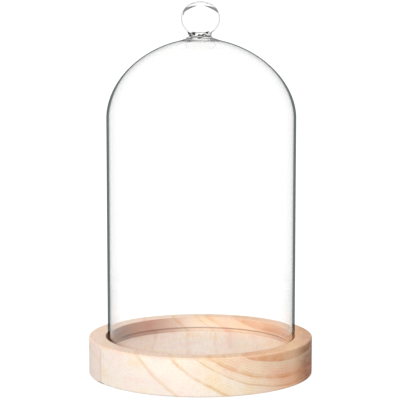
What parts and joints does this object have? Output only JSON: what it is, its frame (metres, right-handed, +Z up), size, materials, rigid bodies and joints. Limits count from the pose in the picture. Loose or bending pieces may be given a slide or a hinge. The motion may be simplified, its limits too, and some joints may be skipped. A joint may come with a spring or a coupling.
{
  "type": "cheese dome",
  "caption": "Clear glass cheese dome: a straight-sided bell with a rounded top and a solid ball knob, standing in the recess of a round pale wooden base.",
  "frame": {"origin": "centre of the base's flat underside, on the surface that the object stands on", "axes": "+Z up along the axis that the bell, the knob and the base are turned about; the glue joint between the base's two boards is the plane x = -0.078 m, parallel to Y"},
  "size_m": [0.18, 0.18, 0.2973],
  "materials": {
    "base_wood": "turned and sanded, unvarnished, matt",
    "bell_glass": "clear, smooth, fire-polished"
  },
  "bodies": {
    "base": {"base_main_board": "base_wood", "base_edge_board": "base_wood"},
    "bell": {"glass_bell": "bell_glass", "glass_knob": "bell_glass"}
  },
  "joints": [
    {"name": "bell_lift", "type": "slide", "parent": "base", "child": "bell", "axis": [0, 0, 1], "range_m": [0, 0.28]}
  ]
}
